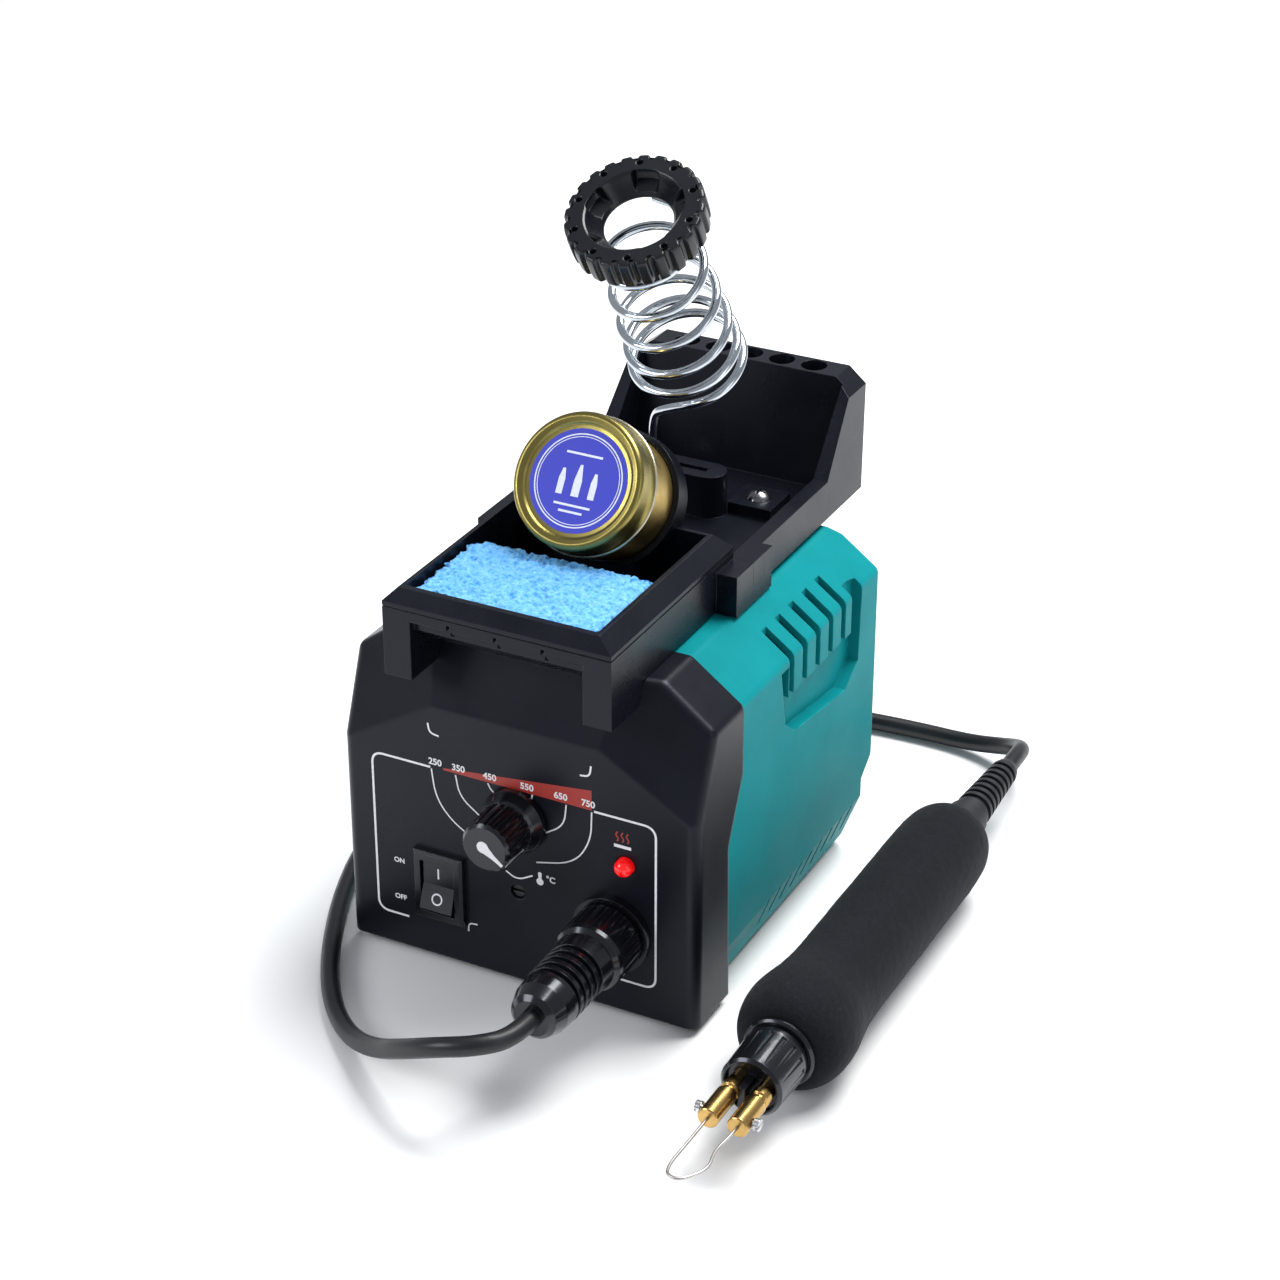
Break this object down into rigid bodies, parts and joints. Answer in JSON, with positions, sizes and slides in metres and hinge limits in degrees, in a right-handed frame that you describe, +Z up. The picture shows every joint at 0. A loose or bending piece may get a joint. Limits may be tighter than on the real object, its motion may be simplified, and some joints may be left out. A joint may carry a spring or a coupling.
{
  "type": "soldering iron station",
  "caption": "Bench soldering and burning station with a two-part case, control panel, top tray with sponge, tin and wire stand, and a foam-grip pen on a cord.",
  "frame": {"origin": "on the bench below the middle of the case, level with the undersides of the rubber feet", "axes": "+Z up, -Y is the front panel with the controls, +X is the side where the pen lies"},
  "size_m": [0.1752, 0.2446, 0.2065],
  "materials": {
    "cover_plastic": "satin moulded",
    "shell_plastic": "satin moulded",
    "tray_plastic": "fine textured",
    "base_plastic": "matt",
    "rubber": "matt",
    "steel_screw": "zinc plated",
    "black_screw": "black oxide",
    "core_steel": "varnished laminations",
    "coil_tape": "taped winding",
    "board_green": "solder mask",
    "component": "moulded",
    "pot_metal": "plated",
    "knob_plastic": "glossy",
    "switch_plastic": "glossy",
    "trimmer_plastic": "satin",
    "lamp_red": "lit lens",
    "socket_plastic": "satin",
    "nut_metal": "plated",
    "plug_plastic": "satin",
    "sponge_blue": "porous cellulose",
    "tin_gold": "lacquered tinplate",
    "chrome_wire": "bright",
    "collar_plastic": "satin",
    "grip_foam": "closed-cell foam",
    "pen_plastic": "glossy",
    "terminal_brass": "turned",
    "tip_metal": "drawn wire",
    "boot_rubber": "soft moulded",
    "cord_rubber": "smooth sheath",
    "inlet_plastic": "satin",
    "fuse_glass": "clear"
  },
  "bodies": {
    "station": {"front_cover": "cover_plastic", "rear_shell": "shell_plastic", "base_plate": "base_plastic", "rubber_feet": "rubber", "case_screws": "steel_screw", "transformer_core": "core_steel", "transformer_coil": "coil_tape", "control_board": "board_green", "board_components": "component", "board_screws": "steel_screw", "pot_body": "pot_metal", "switch_housing": "switch_plastic", "trimmer_body": "trimmer_plastic", "indicator_lamp": "lamp_red", "tool_socket": "socket_plastic", "socket_nut": "nut_metal", "plug_core": "plug_plastic", "plug_boot": "plug_plastic", "holder_tray": "tray_plastic", "tray_bed": "tray_plastic", "tip_rack": "tray_plastic", "tin_cup": "tray_plastic", "tray_screws": "black_screw", "pen_grip": "grip_foam", "pen_barrel": "pen_plastic", "terminal_block": "pen_plastic", "terminal_left": "terminal_brass", "terminal_right": "terminal_brass", "pen_collar": "boot_rubber", "pen_boot": "boot_rubber", "tool_cord": "cord_rubber", "mains_inlet": "inlet_plastic", "inlet_pins": "terminal_brass", "inlet_screws": "black_screw"},
    "knob": {"temperature_knob": "knob_plastic", "pot_shaft": "pot_metal"},
    "rocker": {"switch_rocker": "switch_plastic"},
    "trimmer": {"trimmer_rotor": "trimmer_plastic"},
    "lock_ring": {"plug_ring": "plug_plastic"},
    "pen_nut": {"nose_nut": "pen_plastic"},
    "tip": {"tip_wire": "tip_metal"},
    "clamp_left": {"terminal_screw_left": "steel_screw"},
    "clamp_right": {"terminal_screw_right": "steel_screw"},
    "sponge": {"sponge": "sponge_blue"},
    "tin": {"tips_tin": "tin_gold"},
    "lid": {"tin_lid": "tin_gold"},
    "stand": {"wire_stand": "chrome_wire", "stand_collar": "collar_plastic"},
    "drawer": {"fuse_drawer": "inlet_plastic", "fuse": "fuse_glass"}
  },
  "joints": [
    {"name": "knob_turn", "type": "hinge", "parent": "station", "child": "knob", "pos_m": [0, -0.0575, 0.0525], "axis": [0, -1, 0], "range_deg": [-10, 270]},
    {"name": "rocker_tilt", "type": "hinge", "parent": "station", "child": "rocker", "pos_m": [-0.0235, -0.0555, 0.025], "axis": [1, 0, 0], "range_deg": [0, 18]},
    {"name": "trimmer_turn", "type": "hinge", "parent": "station", "child": "trimmer", "pos_m": [0, -0.0575, 0.03], "axis": [0, -1, 0], "range_deg": [-120, 120]},
    {"name": "lock_ring_turn", "type": "hinge", "parent": "station", "child": "lock_ring", "pos_m": [0.0285, -0.0575, 0.0265], "axis": [0, -1, 0], "range_deg": [0, 90]},
    {"name": "pen_nut_turn", "type": "hinge", "parent": "station", "child": "pen_nut", "pos_m": [0.0828, -0.08, 0.0155], "axis": [0, -1, 0], "range_deg": [0, 360]},
    {"name": "tip_pull", "type": "slide", "parent": "station", "child": "tip", "axis": [0, -1, 0], "range_m": [0, 0.012]},
    {"name": "clamp_left_turn", "type": "hinge", "parent": "station", "child": "clamp_left", "pos_m": [0.0788, -0.1011, 0.0155], "axis": [-1, 0, 0], "range_deg": [0, 360]},
    {"name": "clamp_right_turn", "type": "hinge", "parent": "station", "child": "clamp_right", "pos_m": [0.0868, -0.1011, 0.0155], "axis": [1, 0, 0], "range_deg": [0, 360]},
    {"name": "sponge_lift", "type": "slide", "parent": "station", "child": "sponge", "axis": [0, 0, 1], "range_m": [0, 0.0015]},
    {"name": "tin_pull", "type": "slide", "parent": "station", "child": "tin", "axis": [0, -0.829, 0.5592], "range_m": [0, 0.025]},
    {"name": "lid_pull", "type": "slide", "parent": "tin", "child": "lid", "axis": [0, -0.829, 0.5592], "range_m": [0, 0.012]},
    {"name": "stand_lift", "type": "slide", "parent": "station", "child": "stand", "axis": [0, 0, 1], "range_m": [0, 0.012]},
    {"name": "fuse_drawer_pull", "type": "slide", "parent": "station", "child": "drawer", "axis": [0, 1, 0], "range_m": [0, 0.016]}
  ]
}
